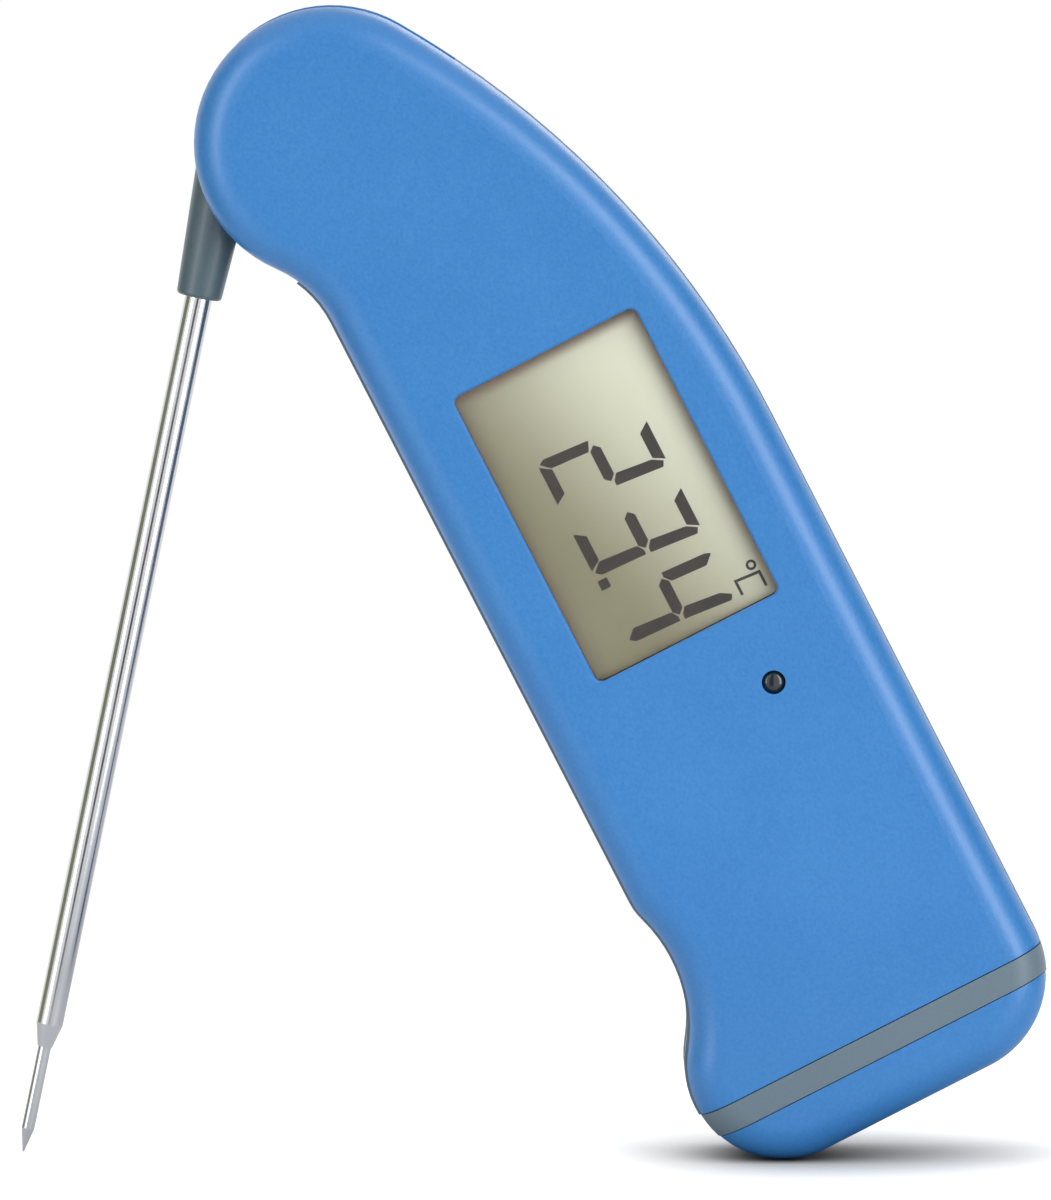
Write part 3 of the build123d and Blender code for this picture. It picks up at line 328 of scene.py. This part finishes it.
for axis, middle, half in zip("XY", shade_middle, film_half):
    from_middle = add_node(tree, "ShaderNodeMath", {1: middle}, operation="SUBTRACT")
    size = add_node(tree, "ShaderNodeMath", operation="ABSOLUTE")
    shade = {1: half - shade_inside, 2: half + shade_outside}
    painted_shade_near_edge = add_node(tree, "ShaderNodeMapRange", shade, interpolation_type="SMOOTHSTEP")
    tree.links.new(parts.outputs[axis], from_middle.inputs[0])
    tree.links.new(from_middle.outputs[0], size.inputs[0])
    tree.links.new(size.outputs[0], painted_shade_near_edge.inputs[0])
    painted_shade_masks.append(painted_shade_near_edge)
painted_shade_mask = add_node(tree, "ShaderNodeMath", operation="MAXIMUM")
tree.links.new(painted_shade_masks[0].outputs[0], painted_shade_mask.inputs[0])
tree.links.new(painted_shade_masks[1].outputs[0], painted_shade_mask.inputs[1])
# The brown of the painted shade at the rims.
painted_rim_shade = add_node(tree, "ShaderNodeMix", {7: paint(112, 86, 68)}, data_type="RGBA")
film_grain = use_effect(tree, moulded_grain, {"Pitch": 0.0002, "Patch": 0.012})
rough = add_node(tree, "ShaderNodeMapRange", {3: 0.38, 4: 0.48})
tree.links.new(painted_shade_mask.outputs[0], painted_rim_shade.inputs["Factor"])
tree.links.new(painted_light_film.outputs[2], painted_rim_shade.inputs[6])
tree.links.new(painted_rim_shade.outputs[2], shader.inputs["Base Color"])
tree.links.new(film_grain.outputs["Tone"], rough.inputs[0])
tree.links.new(rough.outputs[0], shader.inputs["Roughness"])
give_finish(lcd_glass, "lcd_panel")

# ---- Display digits ----
# The liquid crystal between the glass sheets turns dark at each driven segment. Here they are
# thin dark islands on the face of the panel, reading 23.4 with a small degree sign and C.
digit_face = 7.01
digit_thick = 0.02
segment_shapes = {
    "top": ((18.8, 47.2), (18.8, 52.3), (17.38, 51.5), (17.38, 48.2)),
    "upper_left": ((18.45, 46.8), (17.3, 47.9), (12.7, 47.65), (12.0, 46.85), (12.0, 46.2), (17.75, 46.5)),
    "upper_right": (
        (17.2, 51.62), (18.45, 52.38), (18.1, 53.05), (12.0, 52.5), (12.05, 51.85), (12.65, 51.1),
    ),
    "middle": ((11.7, 46.85), (12.4, 47.5), (12.4, 51.05), (11.68, 51.75), (11.0, 51.15), (11.0, 47.45)),
    "lower_left": ((11.4, 46.15), (10.85, 47.35), (5.9, 47.05), (4.85, 46.05), (5.5, 45.65), (11.3, 46.05)),
    "lower_right": ((11.4, 52.45), (11.4, 51.85), (10.85, 51.05), (5.9, 50.65), (4.85, 51.7), (5.5, 52.25)),
    "bottom": ((5.97, 47.22), (5.97, 50.48), (4.57, 51.35), (4.57, 46.3)),
}
digit_pitch = 9.1
digits = (
    ("top", "upper_right", "middle", "lower_left", "bottom"),
    ("top", "upper_right", "middle", "lower_right", "bottom"),
    ("upper_left", "upper_right", "middle", "lower_right"),
)
point_mark = ((5.85, 61.85), (5.85, 63.1), (4.6, 63.1), (4.6, 61.85))
letter_c = (
    (22.8, 69.5), (22.8, 71.6), (22.45, 71.6), (22.45, 69.85),
    (19.7, 69.62), (19.7, 71.3), (19.35, 71.3), (19.35, 69.25),
)
degree_middle = (22.1, 68.5)
degree_reaches = (0.65, 0.33)

islands = bpy.data.curves.new("display_digits", "CURVE")
islands.dimensions = "2D"
islands.fill_mode = "BOTH"
islands.extrude = digit_thick / 2000


def island(corners):
    """One driven segment from its corners, in millimetres up the digit and along the handle."""
    spline = islands.splines.new("POLY")
    spline.points.add(len(corners) - 1)
    for point, (up, along) in zip(spline.points, corners):
        point.co = (up / 1000, -along / 1000, 0.0, 1.0)
    spline.use_cyclic_u = True


for number, lit in enumerate(digits):
    for segment in lit:
        island([(up, along + number * digit_pitch) for up, along in segment_shapes[segment]])
island(point_mark)
island(letter_c)
for reach in degree_reaches:
    ring = [math.radians(15 * step) for step in range(24)]
    island([(degree_middle[0] + reach * math.cos(a), degree_middle[1] + reach * math.sin(a)) for a in ring])

case_axes = Matrix((
    (math.cos(case_lean), -math.sin(case_lean), 0.0),
    (0.0, 0.0, -1.0),
    (math.sin(case_lean), math.cos(case_lean), 0.0),
))


def settle(piece, across, up, out, body, finish, slot):
    """Puts a finished piece in its place on the case, in millimetres from the pivot, in its mesh."""
    place = Vector(pivot_point) + case_axes @ (Vector((across, up, out)) / 1000)
    piece.data.transform(Matrix.Translation(place) @ case_axes.to_4x4() @ piece.matrix_world)
    piece.matrix_world = Matrix.Identity(4)
    piece.data.materials.clear()
    piece.data.materials.append(finish)
    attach(piece, body)


bpy.ops.object.select_all(action="DESELECT")
display_digits = bpy.data.objects.new("display_digits", islands)
bpy.context.scene.collection.objects.link(display_digits)
display_digits.select_set(True)
bpy.context.view_layer.objects.active = display_digits
bpy.ops.object.convert(target="MESH")
display_digits = bpy.context.object
digit_dark, tree, shader = new_finish("digit_dark", Specular_IOR_Level=0.3)
ink = add_node(tree, "ShaderNodeMix", {6: paint(27, 19, 14), 7: paint(37, 28, 23)}, data_type="RGBA")
mottle = use_effect(tree, moulded_grain, {"Pitch": 0.0003, "Patch": 0.004})
rough = add_node(tree, "ShaderNodeMapRange", {3: 0.45, 4: 0.6})
tree.links.new(mottle.outputs["Tone"], ink.inputs["Factor"])
tree.links.new(mottle.outputs["Fine"], rough.inputs[0])
tree.links.new(ink.outputs[2], shader.inputs["Base Color"])
tree.links.new(rough.outputs[0], shader.inputs["Roughness"])
settle(display_digits, 0, 0, digit_face, "case", digit_dark, "lcd_glass")

# ---- Display window, light guide and contact strips ----
# A clear acrylic plate bonded behind the opening, a clear light guide behind the glass, and
# zebra strips, which are thin layers of carbon and silicone rubber.
clear_window, tree, shader = new_finish(
    "clear_window", Transmission_Weight=1.0, IOR=1.49, Base_Color=(1.0, 1.0, 1.0, 1.0)
)
path = add_node(tree, "ShaderNodeLightPath")
solid = add_node(tree, "ShaderNodeMath", {0: -0.92, 2: 1.0}, operation="MULTIPLY_ADD")
haze = use_effect(tree, moulded_grain, {"Pitch": 0.0006, "Patch": 0.015})
polish = add_node(tree, "ShaderNodeMapRange", {3: 0.01, 4: 0.04})
tree.links.new(path.outputs["Is Shadow Ray"], solid.inputs[1])
tree.links.new(solid.outputs[0], shader.inputs["Alpha"])
tree.links.new(haze.outputs["Tone"], polish.inputs[0])
tree.links.new(polish.outputs[0], shader.inputs["Roughness"])
give_finish(clear_window, "display_window")
clear_acrylic, tree, shader = new_finish(
    "clear_acrylic", Transmission_Weight=0.7, IOR=1.49, Base_Color=paint(238, 241, 236)
)
frost = use_effect(tree, moulded_grain, {"Pitch": 0.0004, "Patch": 0.01})
cloud = add_node(tree, "ShaderNodeMapRange", {3: 0.25, 4: 0.5})
tree.links.new(frost.outputs["Tone"], cloud.inputs[0])
tree.links.new(cloud.outputs[0], shader.inputs["Roughness"])
give_finish(clear_acrylic, "light_guide")
zebra_rubber, tree, shader = new_finish("zebra_rubber", Roughness=0.6)
layers = add_node(
    tree, "ShaderNodeTexWave", {"Scale": 1.6, "Distortion": 0.0}, bands_direction="Y", wave_profile="SIN"
)
carbon_and_rubber = {6: paint(28, 28, 30), 7: paint(196, 190, 178)}
layer_tone = add_node(tree, "ShaderNodeMix", carbon_and_rubber, data_type="RGBA")
tree.links.new(on_case(tree), layers.inputs["Vector"])
tree.links.new(layers.outputs["Fac"], layer_tone.inputs["Factor"])
tree.links.new(layer_tone.outputs[2], shader.inputs["Base Color"])
give_finish(zebra_rubber, "zebra_strips")

# ---- Sensor lens ----
# A smoked acrylic light pipe in front of the ambient light sensor: a stem, a flange that is
# glued inside the shell, and a polished dome that stands just below the front face.
lens_place = (18.1, -82.3)
lens_reach = 1.39
flange_reach = 2.08
stem_reach = 1.0
flange_back = 6.8
flange_front = 7.5
dome_start = 8.65
stem_length = 1.2
dome_steps = ((0.08, 0.22), (0.17, 0.2), (0.22, 0.13), (0.3, 0.08), (0.4, 0.03))


def pick_end(piece, height):
    """In edit mode, selects only the flat face at one height, in millimetres."""
    bpy.ops.object.mode_set(mode="EDIT")
    bpy.ops.mesh.select_mode(type="FACE")
    bpy.ops.mesh.select_all(action="DESELECT")
    bpy.ops.object.mode_set(mode="OBJECT")
    for face in piece.data.polygons:
        face.select = abs(face.center.z - height / 1000) < 1e-6 and abs(face.normal.z) > 0.99
    bpy.ops.object.mode_set(mode="EDIT")


def grow(piece, height, inset, rise):
    """Insets the flat face at one end and draws it out, as on a lathe."""
    pick_end(piece, height)
    bpy.ops.mesh.inset(thickness=inset / 1000, depth=0)
    bpy.ops.mesh.extrude_region_move(TRANSFORM_OT_translate={"value": (0, 0, rise / 1000)})
    bpy.ops.object.mode_set(mode="OBJECT")


bpy.ops.object.select_all(action="DESELECT")
bpy.ops.mesh.primitive_cylinder_add(
    vertices=48,
    radius=flange_reach / 1000,
    depth=(flange_front - flange_back) / 1000,
    location=(0, 0, (flange_front + flange_back) / 2000),
)
dome = bpy.context.object
dome.name = dome.data.name = "sensor_dome"
bpy.ops.object.transform_apply(location=True, rotation=True, scale=True)
grow(dome, flange_front, flange_reach - lens_reach, dome_start - flange_front)
top = dome_start
for inset, rise in dome_steps:
    pick_end(dome, top)
    bpy.ops.mesh.extrude_region_move(TRANSFORM_OT_translate={"value": (0, 0, rise / 1000)})
    bpy.ops.object.mode_set(mode="OBJECT")
    top += rise
    rim = [v for v in dome.data.vertices if abs(v.co.z - top / 1000) < 1e-6]
    reach = max(v.co.xy.length for v in rim)
    for v in rim:
        v.co.xy *= (reach - inset / 1000) / reach
grow(dome, flange_back, flange_reach - stem_reach, -stem_length)
bpy.ops.object.shade_smooth_by_angle(angle=math.radians(40))
smoked, tree, shader = new_finish("smoked_lens", IOR=1.49, Coat_Weight=0.6, Coat_Roughness=0.03)
tint = add_node(tree, "ShaderNodeMix", {6: paint(26, 36, 42), 7: paint(38, 49, 55)}, data_type="RGBA")
clouds = use_effect(tree, moulded_grain, {"Pitch": 0.0006, "Patch": 0.002})
rough = add_node(tree, "ShaderNodeMapRange", {3: 0.08, 4: 0.16})
tree.links.new(clouds.outputs["Tone"], tint.inputs["Factor"])
tree.links.new(clouds.outputs["Tone"], rough.inputs[0])
tree.links.new(tint.outputs[2], shader.inputs["Base Color"])
tree.links.new(rough.outputs[0], shader.inputs["Roughness"])
settle(dome, *lens_place, 0, "case", smoked, "smoked_lens")
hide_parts("sensor_lens")

# ---- Table, studio light and camera ----
# The thermometer stands on its heel and its needle on a white table in a white room. Two tall
# softboxes stand in front, the right one stronger, with a weaker one behind. Three darker cards,
# seen only in reflections, give the metal its streaks.
table_radius = 0.6
table_drop = 0.00005
fade_start = 0.1
fade_end = 0.25
# Painted shadow: how far from the thermometer and how deeply the table's colour is darkened.
shadow_reach = 0.018
shadow_depth = 1.5
table_glow = 0.62
card_distance = 1.5
card_middle = 0.1
card_height = 3.0

bpy.ops.object.select_all(action="DESELECT")
bpy.ops.mesh.primitive_circle_add(
    vertices=96, radius=table_radius, fill_type="NGON", location=(0, 0, -table_drop)
)
table = bpy.context.object
table.name = "table"
white_table, tree, shader = new_finish("white_table", Roughness=0.6, Specular_IOR_Level=0.2)
place = add_node(tree, "ShaderNodeTexCoord")
reach = add_node(tree, "ShaderNodeVectorMath", operation="LENGTH")
fade = add_node(
    tree, "ShaderNodeMapRange", {1: fade_start, 2: fade_end, 3: 1.0, 4: 0.0}, interpolation_type="SMOOTHSTEP"
)
dust = add_node(tree, "ShaderNodeTexNoise", {"Scale": 30.0, "Detail": 3.0})
white = add_node(tree, "ShaderNodeMix", {6: (0.9, 0.9, 0.9, 1), 7: (0.93, 0.93, 0.93, 1)}, data_type="RGBA")
# Painted shadow: ambient occlusion darkens the table's colour and its glow close under the thermometer, on
# top of the lamps' real shadows.
painted_contact_shadow = add_node(tree, "ShaderNodeAmbientOcclusion", {"Distance": shadow_reach}, samples=16)
depth = add_node(tree, "ShaderNodeMath", {1: shadow_depth}, operation="POWER")
white_with_painted_shadow = add_node(tree, "ShaderNodeMix", {"Factor": 1.0}, data_type="RGBA", blend_type="MULTIPLY")
path = add_node(tree, "ShaderNodeLightPath")
glow = add_node(tree, "ShaderNodeMath", {1: table_glow}, operation="MULTIPLY")
glow_with_painted_shadow = add_node(tree, "ShaderNodeMath", operation="MULTIPLY")
tree.links.new(place.outputs["Object"], reach.inputs[0])
tree.links.new(reach.outputs["Value"], fade.inputs[0])
tree.links.new(place.outputs["Object"], dust.inputs["Vector"])
tree.links.new(dust.outputs["Fac"], white.inputs["Factor"])
tree.links.new(painted_contact_shadow.outputs["AO"], depth.inputs[0])
tree.links.new(white.outputs[2], white_with_painted_shadow.inputs[6])
tree.links.new(depth.outputs[0], white_with_painted_shadow.inputs[7])
tree.links.new(white_with_painted_shadow.outputs[2], shader.inputs["Base Color"])
tree.links.new(fade.outputs[0], shader.inputs["Alpha"])
tree.links.new(path.outputs["Is Camera Ray"], glow.inputs[0])
tree.links.new(glow.outputs[0], glow_with_painted_shadow.inputs[0])
tree.links.new(depth.outputs[0], glow_with_painted_shadow.inputs[1])
tree.links.new(glow_with_painted_shadow.outputs[0], shader.inputs["Emission Strength"])
shader.inputs["Emission Color"].default_value = (1, 1, 1, 1)
table.data.materials.append(white_table)


def card(name, turn, width, colour):
    """A tall matt card on a stand, seen only in reflections: turn is its bearing from the front."""
    bpy.ops.object.select_all(action="DESELECT")
    bpy.ops.mesh.primitive_plane_add(
        size=1.0, location=(0, -card_distance, card_middle), rotation=(math.radians(90), 0, 0)
    )
    sheet = bpy.context.object
    sheet.name = name
    sheet.scale = (width, card_height, 1.0)
    bpy.ops.transform.rotate(value=-math.radians(turn), orient_axis="Z", center_override=(0, 0, 0))
    bpy.ops.object.transform_apply(location=True, rotation=True, scale=True)
    finish, tree, shader = new_finish(name, Roughness=0.9, Specular_IOR_Level=0.1)
    felt = add_node(tree, "ShaderNodeTexNoise", {"Scale": 4.0})
    paler = [part + 8 for part in colour]
    tone = add_node(tree, "ShaderNodeMix", {6: paint(*colour), 7: paint(*paler)}, data_type="RGBA")
    tree.links.new(felt.outputs["Fac"], tone.inputs["Factor"])
    tree.links.new(tone.outputs[2], shader.inputs["Base Color"])
    sheet.data.materials.append(finish)
    for kind in ("camera", "diffuse", "shadow", "transmission"):
        setattr(sheet, "visible_" + kind, False)


card("front_card", -5, 0.42, (112, 108, 104))
card("left_card", -98, 1.2, (166, 168, 132))
card("right_card", 92, 1.1, (136, 142, 158))

studio = bpy.data.worlds.new("studio")
bpy.context.scene.world = studio
studio.use_nodes = True
tree = studio.node_tree
room = tree.nodes["Background"]
path = add_node(tree, "ShaderNodeLightPath")
seen = add_node(tree, "ShaderNodeMath", operation="MAXIMUM")
seen_too = add_node(tree, "ShaderNodeMath", operation="MAXIMUM")
strength = add_node(tree, "ShaderNodeMapRange", {3: 0.5, 4: 1.0})
room.inputs["Color"].default_value = (1, 1, 1, 1)
tree.links.new(path.outputs["Is Camera Ray"], seen.inputs[0])
tree.links.new(path.outputs["Is Glossy Ray"], seen.inputs[1])
tree.links.new(seen.outputs[0], seen_too.inputs[0])
tree.links.new(path.outputs["Is Transmission Ray"], seen_too.inputs[1])
tree.links.new(seen_too.outputs[0], strength.inputs[0])
tree.links.new(strength.outputs[0], room.inputs["Strength"])


def lamp(name, place, size_x, size_y, power, aim=(0, 0, 0.07)):
    """A softbox that faces the thermometer."""
    light = bpy.data.lights.new(name, "AREA")
    light.shape = "RECTANGLE"
    light.size = size_x
    light.size_y = size_y
    light.energy = power
    holder = bpy.data.objects.new(name, light)
    holder.location = place
    holder.rotation_euler = (Vector(aim) - Vector(place)).to_track_quat("-Z", "Y").to_euler()
    bpy.context.scene.collection.objects.link(holder)


lamp("right_softbox", (0.75, -0.85, 0.35), 0.5, 1.3, 7.2)
lamp("left_softbox", (-0.85, -0.8, 0.35), 0.36, 1.2, 3.8)
lamp("rear_softbox", (0.5, 1.2, 0.8), 0.8, 0.8, 3.2)

view_aim = Vector((-0.00086, 0.0, 0.06796))
view_height = math.radians(5.0)
view_distance = 1.2
view_width = 0.1463
sensor_width = 36.0
camera_data = bpy.data.cameras.new("camera")
camera_data.sensor_width = sensor_width
camera_data.lens = sensor_width * view_distance / view_width
camera = bpy.data.objects.new("camera", camera_data)
camera.location = view_aim + view_distance * Vector((0, -math.cos(view_height), math.sin(view_height)))
camera.rotation_euler = (math.radians(90) - view_height, 0, 0)
bpy.context.scene.collection.objects.link(camera)
bpy.context.scene.camera = camera
bpy.context.scene.view_settings.view_transform = "Standard"
